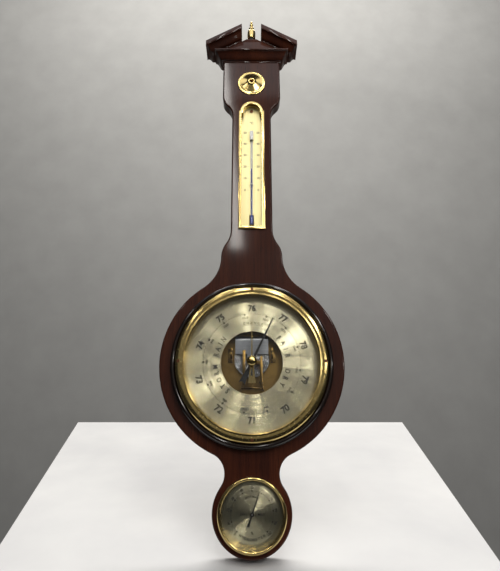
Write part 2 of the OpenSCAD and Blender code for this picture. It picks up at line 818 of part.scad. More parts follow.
// Slim hand with a wide tail
module pressure_hand() {
    tail = 25;
    color("#15120f") facing(dial_z) rotate([0, 0, -pressure_hand_deg]) union() {
        difference() {
            union() {
                plate([[-1.6, 0], [1.6, 0], [0.35, pressure_hand_len], [-0.35, pressure_hand_len]],
                      pressure_depth, pressure_depth + hand_t);
                plate([[-1, 0], [1, 0], [3.4, -tail], [1.6, -tail + 2.2], [-1.6, -tail + 2.2], [-3.4, -tail]],
                      pressure_depth, pressure_depth + hand_t);
                disc(3, pressure_depth, pressure_depth + hand_t);
            }
            disc(arbor_r - touch, pressure_depth - past, pressure_depth + hand_t + past);
        }
        ring(arbor_r + touch, 2, pressure_depth - 0.9, pressure_depth + 0.1);
    }
}

// ---------- Set hand ----------

module set_hand() {
    tail = 22;
    color("#c9a955") facing(dial_z) difference() {
        union() {
            plate([[-0.8, 0], [0.8, 0], [0.3, set_hand_len], [-0.3, set_hand_len]],
                  set_depth, set_depth + hand_t);
            plate([[-1.4, 0], [1.4, 0], [4, -tail], [-4, -tail]], set_depth, set_depth + hand_t);
            disc(3.2, set_depth, set_depth + hand_t);
        }
        plate([[-0.8, -7], [0.8, -7], [1.5, -14.5], [-1.5, -14.5]],
              set_depth - past, set_depth + hand_t + past);
        disc(set_shaft_r - touch, set_depth - past, set_depth + hand_t + past);
    }
}

module set_knob() {
    base = bezel_front + 0.3;
    dome = [for (i = [0 : 10]) [knob_r * cos(9 * i), base + 0.45 * knob_h + 0.55 * knob_h * sin(9 * i)]];
    color("#d0b25e") facing(dial_z) union() {
        disc(set_shaft_r, set_depth - 0.3, base + 1);
        rotate_extrude() polygon(concat([[0, base], [knob_r - 0.6, base], [knob_r, base + 0.6]], dome));
    }
}

// ---------- Back of the barometer ----------

module adjusting_screw() {
    color("#9a9a96") facing(dial_z) translate([0, capsule_v, 0]) difference() {
        union() {
            disc(adjuster_r, can_back - 0.2, capsule_back - 0.15);
            disc(2.7, can_back - 1.4, can_back - 0.1);
        }
        translate([-3, -0.35, can_back - 2.4]) cube([6, 0.7, 1.6]);
    }
}

module back_cover() {
    color("#6b6459") facing(dial_z) difference() {
        disc(cover_r, touch, cover_t);
        translate([0, capsule_v, 0]) disc(4, -past, cover_t + past);
        cover_holes(cover_screw_r + fit, -past, cover_t + past);
    }
}

module back_cover_screws() {
    color("#8c8c86") facing(dial_z) cover_holes(cover_screw_r, touch, cover_t + 5.5);
}

module hanger_plate() {
    color("#b7964c") facing(0) difference() {
        translate([-hanger_w / 2, -hanger_len / 2, 0]) cube([hanger_w, hanger_len, hanger_t]);
        disc(hanger_hole_r, -past, hanger_t + past);
        translate([-hanger_slot_w / 2, 0, -past])
            cube([hanger_slot_w, hanger_hole_r + 6, hanger_t + 2 * past]);
        hanger_holes(hanger_screw_r + fit, -past, hanger_t + past);
    }
}

module hanger_screws() {
    color("#8c8c86") facing(0) difference() {
        hanger_holes(hanger_screw_r, touch, 8.5);
        for (s = [-1, 1]) translate([-2, s * (hanger_len / 2 - 4.5) - 0.3, 0]) cube([4, 0.6, 0.5]);
    }
}

// ---------- Hygrometer ----------

module hygro_can() {
    color("#8d8a80") facing(hygro_z) difference() {
        union() {
            disc(hygro_can_r, hygro_floor + touch, front + 0.3);
            disc(hygro_cavity_r - loose, front + touch, hygro_dial_back);
        }
        disc(hygro_can_r - 0.6, hygro_floor + 0.8, hygro_dial_back + past);
    }
}

module hygro_bezel() {
    half = hygro_bezel_w / 2;
    in_r = hygro_bezel_r - hygro_bezel_w;
    bead = [for (i = [0 : 12])
        [hygro_bezel_r - half + half * cos(15 * i), hygro_front - half + half * sin(15 * i)]];
    color("#b3914a") facing(hygro_z) rotate_extrude()
        polygon(concat([[hygro_cavity_r, front + touch], [hygro_bezel_r, front + touch]], bead,
                       [[in_r, hygro_glass_front + touch], [hygro_cavity_r, hygro_glass_front + touch]]));
}

module hygro_glass() {
    color("#dfe8e8") facing(hygro_z)
        disc(hygro_cavity_r - fit, hygro_glass_front - hygro_glass_t, hygro_glass_front);
}

module hygro_spacer() {
    color("#cbb068") facing(hygro_z)
        ring(hygro_can_r - 0.2, hygro_cavity_r - fit,
             hygro_dial_front + touch, hygro_glass_front - hygro_glass_t - touch);
}

module hygro_dial() {
    color("#c9c3a2") facing(hygro_z)
        ring(hygro_arbor_r + fit, hygro_cavity_r - loose, hygro_dial_back + touch, hygro_dial_front);
}

module hygro_hand() {
    tail = 11;
    color("#15120f") facing(hygro_z) rotate([0, 0, -hygro_hand_deg]) difference() {
        union() {
            plate([[-0.8, 0], [0.8, 0], [0.15, hygro_hand_len], [-0.15, hygro_hand_len]],
                  hygro_hand_depth, hygro_hand_depth + 0.4);
            plate([[-0.6, 0], [0.6, 0], [1.2, -tail], [-1.2, -tail]],
                  hygro_hand_depth, hygro_hand_depth + 0.4);
            disc(2, hygro_hand_depth, hygro_hand_depth + 0.7);
        }
        disc(hygro_arbor_r - touch, hygro_hand_depth - past, hygro_hand_depth + 2 * past);
    }
}

module hygro_arbor() {
    color("#b9b9b4") facing(hygro_z) disc(hygro_arbor_r, hygro_floor + 1.1, hygro_hand_depth + 0.6);
}

module hygro_coil() {
    color("#b98a5a") facing(hygro_z)
        spiral(hygro_arbor_r + 0.3, 10, 4, 0.4, hygro_floor + 3, hygro_floor + 8);
}

case_board();
ring_moulding();
tympanum();
rake_left();
rake_right();
rake_return_left();
rake_return_right();
cornice_front();
cornice_left();
cornice_right();
finial_seat();
finial();
rosette();
rosette_pin();
thermometer_frame();
thermometer_plate();
thermometer_screw();
thermometer_tube();
thermometer_liquid();
tube_backing();
tube_holder();
tube_clip();
bezel();
bezel_screws();
glass();
reflector_ring();
dial();
movement_can();
base_plate();
capsule();
main_spring();
spring_brackets();
rocker_brackets();
lower_bridge();
upper_bridge();
rocking_arbor();
main_lever();
chain();
hairspring();
centre_arbor();
pressure_hand();
set_hand();
set_knob();
adjusting_screw();
back_cover();
back_cover_screws();
hygro_can();
hygro_bezel();
hygro_glass();
hygro_spacer();
hygro_dial();
hygro_hand();
hygro_arbor();
hygro_coil();
hanger_plate();
hanger_screws();
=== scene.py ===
# %% [markdown]
# A banjo-shaped weather station
#
# This lesson dresses a wall-hung weather station: a mahogany case that carries an aneroid barometer with
# an open movement, a thermometer and a small hygrometer. The parts, sizes and joints come from the packed
# model, so this script only gives each piece its finish, rounds its edges and prints the scales.
# Everything is in metres, the dials face -Y and +Z is up.

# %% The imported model
import json
import math
import bmesh
import bpy
from mathutils import Matrix, Quaternion, Vector


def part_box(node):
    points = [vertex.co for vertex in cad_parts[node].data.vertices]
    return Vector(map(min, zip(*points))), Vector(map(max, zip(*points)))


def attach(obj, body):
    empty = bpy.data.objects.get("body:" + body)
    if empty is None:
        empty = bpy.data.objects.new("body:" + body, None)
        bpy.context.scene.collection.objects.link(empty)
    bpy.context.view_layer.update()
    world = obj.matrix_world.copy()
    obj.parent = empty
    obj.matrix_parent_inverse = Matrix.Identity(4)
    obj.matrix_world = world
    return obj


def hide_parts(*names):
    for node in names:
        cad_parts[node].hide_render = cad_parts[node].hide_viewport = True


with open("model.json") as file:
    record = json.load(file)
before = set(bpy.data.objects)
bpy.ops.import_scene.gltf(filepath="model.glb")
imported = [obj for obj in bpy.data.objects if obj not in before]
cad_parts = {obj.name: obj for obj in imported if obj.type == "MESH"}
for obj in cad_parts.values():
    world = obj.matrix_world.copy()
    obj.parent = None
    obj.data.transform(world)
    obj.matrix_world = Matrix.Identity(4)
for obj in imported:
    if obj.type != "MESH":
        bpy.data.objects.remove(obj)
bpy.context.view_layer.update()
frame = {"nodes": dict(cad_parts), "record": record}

MM = 0.001
SEAT_GAP = 0.02 * MM
PANE_GAP = 0.05 * MM
body_of = {}
slot_of = {}
for body_name, members in frame["record"]["behaviour"]["bodies"].items():
    for member in members:
        body_of[member] = body_name
for entry in frame["record"]["subparts"]:
    slot_of[entry["node"]] = entry["material_slot"]


def middle(node):
    """The middle of a node's box."""
    low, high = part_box(node)
    return (Vector(low) + Vector(high)) / 2


def front_of(node):
    """How far a node's front stands above the wall."""
    return -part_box(node)[0][1]


def half_width(node):
    """Half of a node's size from left to right."""
    low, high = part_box(node)
    return (high[0] - low[0]) / 2


dial_z = middle("dial").z
hygro_z = middle("hygro_dial").z
floor_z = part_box("case_board")[0][2]
board_front = front_of("case_board")
DIAL_CENTRE = (0.0, 0.0, dial_z)
HYGRO_CENTRE = (0.0, 0.0, hygro_z)
print("dial height %.4f, hygrometer height %.4f" % (dial_z, hygro_z))

# %% [markdown]
# The camera
#
# The case leans back a little on its stand, and the viewer looks up along it from close by. In the case's
# own frame that is a camera a little below the large dial, tilted up. The closeness gives the case its
# strong taper, and a small vertical shift places it in the picture.

# %% Camera
VIEW_DISTANCE = 0.555
VIEW_DROP = 0.067
VIEW_TILT = math.radians(20.2)
VIEW_SIDE = -0.002
FOCAL_LENGTH = 31.93
PICTURE_SHIFT = -0.0753
camera_data = bpy.data.cameras.new("camera")
camera_data.lens = FOCAL_LENGTH
camera_data.shift_y = PICTURE_SHIFT
camera = bpy.data.objects.new("camera", camera_data)
camera.location = (VIEW_SIDE, -board_front - VIEW_DISTANCE, dial_z - VIEW_DROP)
camera.rotation_euler = (math.pi / 2 + VIEW_TILT, 0.0, 0.0)
bpy.context.scene.collection.objects.link(camera)
bpy.context.scene.camera = camera
print("camera at", [round(c, 3) for c in camera.location])

# %% [markdown]
# Small helpers
#
# A finished mesh has to be an object at the origin that rides on a body of the model. The next cell holds
# that last step once, so that the later cells only shape the mesh. Smooth shading with sharp edges where
# two faces meet at an angle keeps a turned piece round and its steps crisp.

# %% Finishing a mesh
finishes = {}


def sharpen(bm, degrees):
    """Shades every face smooth and marks the edges that turn by more than an angle."""
    limit = math.radians(degrees)
    for face in bm.faces:
        face.smooth = True
    for edge in bm.edges:
        edge.smooth = edge.is_manifold and edge.calc_face_angle(0.0) < limit


def finish_piece(bm, name, body, slot, stands_for=(), degrees=32, material=None):
    """Turns a bmesh into a piece with a finish, on a body."""
    sharpen(bm, degrees)
    mesh = bpy.data.meshes.new(name)
    bm.to_mesh(mesh)
    bm.free()
    piece = bpy.data.objects.new(name, mesh)
    bpy.context.scene.collection.objects.link(piece)
    mesh.materials.append(material or finishes[slot])
    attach(piece, body)
    if stands_for:
        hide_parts(*stands_for)
    return piece


def arc_points(centre, radius, start, end, steps):
    """Points on an arc in the plane of radius and depth, with angles in degrees."""
    turns = [math.radians(start + (end - start) * i / steps) for i in range(steps + 1)]
    return [(centre[0] + radius * math.cos(t), centre[1] + radius * math.sin(t)) for t in turns]


def smooth_profile(points, steps):
    """A curve through the points, so that a turned outline has no corners."""
    curve = []
    for i in range(len(points) - 1):
        before, a = points[max(i - 1, 0)], points[i]
        b, after = points[i + 1], points[min(i + 2, len(points) - 1)]
        for k in range(steps):
            t = k / steps
            curve.append(tuple(0.5 * (2 * a[j] + (b[j] - before[j]) * t
                                      + (2 * before[j] - 5 * a[j] + 4 * b[j] - after[j]) * t ** 2
                                      + (3 * a[j] - before[j] - 3 * b[j] + after[j]) * t ** 3)
                               for j in (0, 1)))
    return curve + [points[-1]]


def spun(profile, centre, closed, axis=(0, 1, 0), steps=160):
    """A bmesh turned about an axis from points of radius and height, both in metres."""
    bm = bmesh.new()
    up = Vector((0, 0, 1)) if axis[1] else Vector((0, -1, 0))
    forward = Vector((0, -1, 0)) if axis[1] else Vector((0, 0, 1))
    rail = [bm.verts.new(Vector(centre) + up * r + forward * h) for r, h in profile]
    for a, b in zip(rail, rail[1:] + rail[:1] if closed else rail[1:]):
        bm.edges.new((a, b))
    bmesh.ops.spin(bm, geom=bm.verts[:] + bm.edges[:], cent=centre, axis=axis, dvec=(0, 0, 0),
                   angle=2 * math.pi, steps=steps, use_merge=True, use_normal_flip=False,
                   use_duplicate=False)
    bmesh.ops.remove_doubles(bm, verts=bm.verts[:], dist=1e-6)
    bmesh.ops.recalc_face_normals(bm, faces=bm.faces[:])
    return bm


def merged_copy(node):
    """A bmesh of a CAD node with its loose triangles joined and its flat faces cleaned."""
    bm = bmesh.new()
    bm.from_mesh(frame["nodes"][node].data)
    bmesh.ops.remove_doubles(bm, verts=bm.verts[:], dist=2e-6)
    bmesh.ops.dissolve_limit(bm, angle_limit=math.radians(0.6), verts=bm.verts[:], edges=bm.edges[:])
    return bm


print("helpers ready")

# %% [markdown]
# Writing shaders as sums
#
# A finish such as lacquered mahogany mixes a few patterns. Written node by node that takes pages, so a
# small class wraps one socket and lets Python's own operators add the Math nodes. Every other node comes
# from one method that takes the node's type, its settings and its inputs.

# %% Shader helpers
class Signal:
    """A socket of a node tree that can be used in sums."""

    def __init__(self, tree, socket):
        self.tree = tree
        self.socket = socket

    def math(self, operation, a, b=0.0):
        """A Math node on two values."""
        node = self.tree.nodes.new("ShaderNodeMath")
        node.operation = operation
        feed(self.tree, node.inputs[0], a)
        feed(self.tree, node.inputs[1], b)
        return Signal(self.tree, node.outputs[0])

    def __add__(self, other):
        return self.math("ADD", self, other)

    def __radd__(self, other):
        return self.math("ADD", other, self)

    def __sub__(self, other):
        return self.math("SUBTRACT", self, other)

    def __mul__(self, other):
        return self.math("MULTIPLY", self, other)

    def __rmul__(self, other):
        return self.math("MULTIPLY", other, self)

    def above(self, level, width):
        """0 below a level and 1 above it, with a soft step."""
        node = self.tree.nodes.new("ShaderNodeMapRange")
        node.interpolation_type = "SMOOTHSTEP"
        feed(self.tree, node.inputs["Value"], self)
        node.inputs["From Min"].default_value = level - width / 2
        node.inputs["From Max"].default_value = level + width / 2
        return Signal(self.tree, node.outputs["Result"])


def feed(tree, socket, value):
    """Links a signal to a socket, or sets a plain value on it."""
    if isinstance(value, Signal):
        tree.links.new(value.socket, socket)
    else:
        socket.default_value = value


class Finish:
    """A procedural material in the making, kept under the name of its slot."""

    def __init__(self, slot):
        self.material = bpy.data.materials.new(slot)
        self.material.use_nodes = True
        self.tree = self.material.node_tree
        self.shader = self.tree.nodes["Principled BSDF"]
        self.place = self.node("TexCoord", output="Object")
        finishes[slot] = self.material

    def node(self, kind, settings=None, output=0, **inputs):
        """Adds a node, sets it up, feeds its inputs and gives one of its outputs."""
        node = self.tree.nodes.new("ShaderNode" + kind)
        for key, value in (settings or {}).items():
            if key == "stops":
                ramp = node.color_ramp
                while len(ramp.elements) < len(value):
                    ramp.elements.new(0.5)
                for element, (position, colour) in zip(ramp.elements, value):
                    element.position = position
                    element.color = (*colour, 1.0)
            else:
                setattr(node, key, value)
        for key, value in inputs.items():
            name = key.replace("_", " ")
            index = int(name[1:]) if name[0] == "i" and name[1:].isdigit() else name
            feed(self.tree, node.inputs[index], value)
        return Signal(self.tree, node.outputs[output])

    def stretched(self, x, y, z, origin=(0.0, 0.0, 0.0)):
        """Object coordinates measured from an origin and scaled along each axis."""
        moved = self.node("VectorMath", {"operation": "SUBTRACT"}, i0=self.place, i1=origin)
        return self.node("VectorMath", {"operation": "MULTIPLY"}, i0=moved, i1=(x, y, z))

    def noise(self, vector, scale=1.0, detail=3.0, roughness=0.55, distortion=0.0):
        return self.node("TexNoise", None, "Fac", Vector=vector, Scale=scale, Detail=detail,
                         Roughness=roughness, Distortion=distortion)

    def ramp(self, value, *stops):
        return self.node("ValToRGB", {"stops": stops}, "Color", Fac=value)

    def mix(self, share, first, second):
        return self.node("Mix", {"data_type": "RGBA"}, 2, i0=share, i6=first, i7=second)

    def radius(self, centre):
        """Distance from an axis that runs front to back through a centre."""
        flat = self.stretched(1.0, 0.0, 1.0, centre)
        return self.node("VectorMath", {"operation": "LENGTH"}, "Value", i0=flat)

    def bump(self, height, distance, strength):
        return self.node("Bump", None, "Normal", Height=height, Distance=distance, Strength=strength)

    def set(self, **sockets):
        for key, value in sockets.items():
            feed(self.tree, self.shader.inputs[key.replace("_", " ")], value)


print("shader helpers ready")

# %% [markdown]
# Mahogany under lacquer
#
# The case is stained mahogany with a clear gloss coat. Along the case run soft ribbons of lighter and
# darker wood, and across them short dark pores. Noise stretched along Z makes both. The lacquer is the
# shader's own coat, which fills the pores, so the bump under it stays faint. The reddish board and
# mouldings and the nearly black rings share one recipe, and the grain runs along Z in all of them.

# %% Wood finishes
def wood(slot, dark, warm, light, coat):
    """Stained wood with its grain along Z: three stain colours and the strength of the lacquer."""
    finish = Finish(slot)
    ribbons = finish.noise(finish.stretched(34, 34, 2.2), detail=4.0, distortion=0.5)
    fibres = finish.noise(finish.stretched(520, 520, 16), detail=5.0, roughness=0.65)
    pores = finish.noise(finish.stretched(1500, 1500, 62), detail=2.0).above(0.63, 0.05)
    tone = ribbons * 0.62 + fibres * 0.38
    stain = finish.ramp(tone, (0.32, dark), (0.5, warm), (0.7, light))
    colour = finish.mix(pores * 0.7, stain, (*[c * 0.25 for c in dark], 1.0))
    smudges = finish.noise(finish.stretched(22, 22, 22), detail=3.0)
    finish.set(Base_Color=colour, Roughness=0.5 + smudges * 0.16, Specular_IOR_Level=0.12,
               Coat_Weight=coat * (0.75 + smudges * 0.4), Coat_Roughness=0.08,
               Normal=finish.bump(fibres - pores * 0.6, 0.00004, 0.5))


wood("mahogany", (0.020, 0.0034, 0.0010), (0.046, 0.0088, 0.0022), (0.085, 0.020, 0.0055), 0.5)
wood("dark_wood", (0.0025, 0.0008, 0.0005), (0.006, 0.0017, 0.0008), (0.012, 0.0035, 0.0016), 1.0)
print("wood finishes:", sorted(finishes))

# %% [markdown]
# Brass, new and old
#
# The bezels, the thermometer's surround and the turned ornaments are polished brass under clear varnish,
# which has let in a little brown at some places. The movement's brass is duller, and some of it carries
# fine turning marks around the dial's axis. A ring pattern needs the distance from an axis, which one
# vector sum gives.

# %% Brass finishes
def brass(slot, colour, tarnish, low, high, ring_centre=None):
    """Brass with its clean colour, its tarnish and its smoothest and roughest patches."""
    finish = Finish(slot)
    patches = finish.noise(finish.stretched(45, 45, 45), detail=5.0, roughness=0.6)
    specks = finish.noise(finish.stretched(900, 900, 900), detail=2.0).above(0.68, 0.06)
    stained = patches.above(0.6, 0.25) * 0.45 + specks * 0.35
    rough = low + (high - low) * patches + specks * 0.2
    fine = finish.noise(finish.stretched(2600, 2600, 2600), detail=1.0)
    if ring_centre is not None:
        distance = finish.node("CombineXYZ", X=finish.radius(ring_centre))
        rings = finish.noise(distance, scale=5200.0, detail=2.0)
        fine = fine * 0.3 + rings
    finish.set(Base_Color=finish.mix(stained, (*colour, 1.0), (*tarnish, 1.0)), Metallic=1.0,
               Roughness=rough, Normal=finish.bump(fine, 0.000003, 0.3))


brass("polished_brass", (0.66, 0.50, 0.20), (0.34, 0.21, 0.07), 0.09, 0.22)
brass("aged_brass", (0.15, 0.065, 0.035), (0.05, 0.02, 0.012), 0.30, 0.48)
brass("movement_brass", (0.30, 0.19, 0.055), (0.12, 0.065, 0.02), 0.22, 0.40, DIAL_CENTRE)
brass("coil_strip", (0.60, 0.36, 0.20), (0.30, 0.16, 0.08), 0.25, 0.4)
print("brass finishes:", sorted(finishes))

# %% [markdown]
# Dials with a circular brush
#
# Each dial was spun against a fine abrasive, so its scratches are circles, and a lamp draws a bright fan
# from the centre to the rim. A scratch leans the surface only towards the centre or away from it, so the
# normal is tilted along the radius by an amount that is the same all round each ring.

# %% Dial, scale and print finishes
GROOVE_TILT = 0.62
RINGS_PER_METRE = 40000.0


def spun_dial():
    """Brushed metal whose rings tilt the surface towards or away from the centre of their own dial."""
    finish = Finish("spun_dial")
    height = finish.node("SeparateXYZ", output="Z", Vector=finish.place)
    upper = height.above((dial_z + hygro_z) / 2, 0.01)
    centre = finish.node("CombineXYZ", Z=hygro_z + upper * (dial_z - hygro_z))
    moved = finish.node("VectorMath", {"operation": "SUBTRACT"}, i0=finish.place, i1=centre)
    flat = finish.node("VectorMath", {"operation": "MULTIPLY"}, i0=moved, i1=(1.0, 0.0, 1.0))
    radius = finish.node("VectorMath", {"operation": "LENGTH"}, "Value", i0=flat)
    outward = finish.node("VectorMath", {"operation": "NORMALIZE"}, i0=flat)
    ring = radius.math("FLOOR", radius * RINGS_PER_METRE)
    rings = finish.node("TexWhiteNoise", {"noise_dimensions": "1D"}, "Value", W=ring)
    tilt = (rings - 0.5) * GROOVE_TILT
    lean = finish.node("VectorMath", {"operation": "SCALE"}, i0=outward, Scale=tilt)
    facing = finish.node("NewGeometry", output="Normal")
    leaning = finish.node("VectorMath", {"operation": "ADD"}, i0=facing, i1=lean)
    normal = finish.node("VectorMath", {"operation": "NORMALIZE"}, i0=leaning)
    cloud = finish.noise(finish.stretched(16, 16, 16), detail=2.0)
    colour = finish.ramp(rings * 0.2 + cloud * 0.8, (0.3, (0.60, 0.55, 0.36)), (0.7, (0.76, 0.72, 0.50)))
    finish.set(Base_Color=colour, Metallic=1.0, Roughness=0.19 + rings * 0.04, Normal=normal)


def gold_scale():
    """Gilt metal with fine streaks along the thermometer."""
    finish = Finish("gold_scale")
    streaks = finish.noise(finish.stretched(900, 900, 9), detail=3.0)
    cloud = finish.noise(finish.stretched(30, 30, 12), detail=3.0)
    colour = finish.ramp(streaks * 0.4 + cloud * 0.6, (0.3, (0.60, 0.52, 0.25)), (0.7, (0.80, 0.74, 0.42)))
    finish.set(Base_Color=colour, Metallic=0.75, Roughness=0.36 + streaks * 0.14,
               Normal=finish.bump(streaks, 0.00001, 0.4))


def ink():
    """Black ink, a little worn."""
    finish = Finish("ink")
    wear = finish.noise(finish.stretched(1500, 1500, 1500), detail=2.0)
    finish.set(Base_Color=finish.ramp(wear, (0.3, (0.008, 0.007, 0.006)), (0.75, (0.03, 0.027, 0.022))),
               Roughness=0.45 + wear * 0.2)


spun_dial()
gold_scale()
ink()
print("dial finishes:", sorted(finishes))

# %% [markdown]
# Steel, glass, paint and enamel
#
# Glass this thin only shows by its reflections, which are weak from the front and strong at a low angle. A
# mirror-like shader whose alpha follows the Fresnel curve gives that, and the dial behind it stays clear.

# %% The remaining finishes
def metal(slot, dark, light, low, high, stretch):
    """Bare metal between two colours and two roughnesses, with its grain stretched along an axis."""
    finish = Finish(slot)
    grain = finish.noise(finish.stretched(*stretch), detail=3.0)
    cloud = finish.noise(finish.stretched(60, 60, 60), detail=3.0)
    colour = finish.ramp(grain * 0.5 + cloud * 0.5, (0.3, dark), (0.7, light))
    finish.set(Base_Color=colour, Metallic=1.0, Roughness=low + (high - low) * cloud,
               Normal=finish.bump(grain, 0.00001, 0.4))


def coating(slot, dark, light, rough, coat=0.0):
    """Paint, enamel, dyed spirit or card between two colours."""
    finish = Finish(slot)
    grain = finish.noise(finish.stretched(700, 700, 700), detail=3.0)
    cloud = finish.noise(finish.stretched(50, 50, 50), detail=3.0)
    finish.set(Base_Color=finish.ramp(cloud * 0.6 + grain * 0.4, (0.3, dark), (0.7, light)),
               Roughness=rough + grain * 0.12, Coat_Weight=coat, Coat_Roughness=0.05,
               Normal=finish.bump(grain, 0.00001, 0.25))


def glass(slot, reach):
    """Thin clear glass that shows the room at low angles, up to a reach."""
    finish = Finish(slot)
    facing = finish.node("Fresnel", IOR=1.48)
    dust = finish.noise(finish.stretched(70, 70, 70), detail=5.0).above(0.62, 0.3)
    finish.set(Base_Color=(0.95, 0.98, 0.98, 1.0), Metallic=1.0, Roughness=0.02 + dust * 0.03,
               Alpha=facing * reach + dust * 0.012)


metal("capsule_metal", (0.48, 0.49, 0.50), (0.78, 0.79, 0.80), 0.14, 0.30, (500, 500, 500))
metal("spring_steel", (0.20, 0.21, 0.23), (0.40, 0.42, 0.44), 0.24, 0.42, (12, 600, 900))
metal("steel", (0.40, 0.39, 0.37), (0.60, 0.59, 0.56), 0.25, 0.45, (400, 400, 400))
coating("black_paint", (0.003, 0.0025, 0.002), (0.007, 0.006, 0.005), 0.5)
coating("white_enamel", (0.72, 0.72, 0.68), (0.86, 0.86, 0.82), 0.22, coat=0.5)
coating("blue_spirit", (0.045, 0.075, 0.34), (0.085, 0.13, 0.52), 0.12, coat=1.0)
coating("cover_card", (0.10, 0.085, 0.065), (0.17, 0.15, 0.12), 0.6)
glass("clear_glass", 0.9)
glass("tube_glass", 0.22)
for slot in sorted(set(slot_of.values())):
    assert slot in finishes, slot
print("finishes:", len(finishes))

# %% [markdown]
# Dressing the CAD pieces
#
# Every carried-over piece takes the finish of its slot. A piece with square edges looks drawn and not made,
# so the case, its mouldings and the larger fittings are replaced by a copy with its edges rounded: joined,
# cleaned, bevelled and shaded. The CAD node itself stays as it is, hidden.

# %% Finishes on the CAD pieces
for node_name, node in frame["nodes"].items():
    for holder in node.material_slots:
        holder.material = finishes[slot_of[node_name]]
    if not node.material_slots:
        node.data.materials.append(finishes[slot_of[node_name]])


def eased(node, width, segments=2, degrees=25, pick=None):
    """A copy of a CAD node with its sharp edges, or the picked ones among them, rounded by a width."""
    bm = merged_copy(node)
    limit = math.radians(30)
    edges = [edge for edge in bm.edges if edge.is_manifold and edge.calc_face_angle(0.0) > limit]
    if pick is not None:
        edges = [edge for edge in edges if pick(edge)]
    bmesh.ops.bevel(bm, geom=edges, offset=width, offset_type="OFFSET", segments=segments, profile=0.5,
                    affect="EDGES", clamp_overlap=True, material=-1)
    return finish_piece(bm, node + "_eased", body_of[node], slot_of[node], (node,), degrees)


def on_outline(edge):
    """True for the front edge of the board, away from its pockets and bores."""
    if any(abs(v.co.y + board_front) > 1e-5 for v in edge.verts):
        return False
    spot = (edge.verts[0].co + edge.verts[1].co) / 2
    from_dial = math.hypot(spot.x, spot.z - dial_z)
    from_hygro = math.hypot(spot.x, spot.z - hygro_z)
    low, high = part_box("thermometer_frame")
    in_pocket = abs(spot.x) < high[0] and low[2] < spot.z < high[2]
    in_bores = from_dial < half_width("ring_moulding") or from_hygro < half_width("hygro_bezel")
    in_rosette = max(abs(spot.x), abs(spot.z)) < half_width("rosette")
    return not (in_pocket or in_bores or in_rosette)


board = eased("case_board", 3.4 * MM, segments=6, degrees=24, pick=on_outline)
flatten = board.modifiers.new("even_shading", "WEIGHTED_NORMAL")
flatten.keep_sharp = True
flatten.weight = 80
print("board faces:", len(board.data.polygons))

for moulding in ("tympanum", "rake_left", "rake_right", "rake_return_left", "rake_return_right",
                 "cornice_front", "cornice_left", "cornice_right"):
    eased(moulding, 0.35 * MM)
for fitting in ("thermometer_frame", "hanger_plate", "upper_bridge", "lower_bridge", "spring_brackets",
                "rocker_brackets", "rocking_arbor", "main_lever", "tube_holder", "tube_clip"):
    eased(fitting, 0.12 * MM)
print("eased pieces ready")

# %% [markdown]
# Turned pieces
#
# The ring moulding, the bezels, the knob, the rosette and the finial all came off a lathe. The operator
# that does the same is spin: an outline of radius and height is turned once around an axis, with its seam
# merged.

# %% Ring moulding and bezels
def turned(node, profile, centre, closed=True, axis=(0, 1, 0), steps=160, degrees=32):
    """A turned piece that stands for a CAD node."""
    bm = spun(profile, centre, closed, axis, steps)
    return finish_piece(bm, node + "_turned", body_of[node], slot_of[node], (node,), degrees)


def ring_moulding():
    """A half-round crest with a straight skirt and a small rounded toe."""
    outer = half_width("ring_moulding")
    inner = half_width("bezel") + 0.5 * MM
    rise = front_of("ring_moulding") - board_front
    width = outer - inner
    foot = board_front + SEAT_GAP
    crest = arc_points((inner + 0.42 * width, foot + rise - 0.42 * width), 0.42 * width, 180, 20, 14)
    skirt = [(outer - 0.9 * MM, foot + 0.40 * rise), (outer - 0.9 * MM, foot + 1.6 * MM)]
    toe = arc_points((outer - 0.9 * MM, foot + 0.7 * MM), 0.9 * MM, 80, 0, 5)
    turned("ring_moulding", [(inner, foot)] + crest + skirt + toe + [(outer, foot)], DIAL_CENTRE)


def large_bezel():
    """A rounded shoulder, a gently sloping face and a rolled lip over the glass."""
    outer = half_width("bezel")
    front = front_of("bezel")
    foot = board_front + SEAT_GAP
    seat = front_of("glass") + SEAT_GAP
    cavity = half_width("glass") + PANE_GAP
    lip = cavity - 2.6 * MM
    shoulder = arc_points((outer - 3.2 * MM, front - 3.6 * MM), 3.2 * MM, 0, 78, 10)
    slope = [shoulder[-1], (outer - 4.6 * MM, front - 0.1 * MM), (lip + 2.6 * MM, front - 0.35 * MM)]
    face = smooth_profile(slope, 6)
    roll = arc_points((lip + 1.0 * MM, front - 1.0 * MM), 1.0 * MM, 90, 180, 8)
    profile = [(cavity, foot), (outer, foot)] + shoulder + face[1:] + roll + [(lip, seat), (cavity, seat)]
    turned("bezel", profile, DIAL_CENTRE, steps=192)


def small_bezel():
    """A single bead around the hygrometer's glass."""
    outer = half_width("hygro_bezel")
    front = front_of("hygro_bezel")
    foot = board_front + SEAT_GAP
    seat = front_of("hygro_glass") + SEAT_GAP
    cavity = half_width("hygro_glass") + PANE_GAP
    width = outer - cavity + 2.0 * MM
    bead = arc_points((outer - width / 2, front - width / 2), width / 2, 0, 180, 20)
    profile = [(cavity, foot), (outer, foot)] + bead + [(outer - width, seat), (cavity, seat)]
    turned("hygro_bezel", profile, HYGRO_CENTRE)


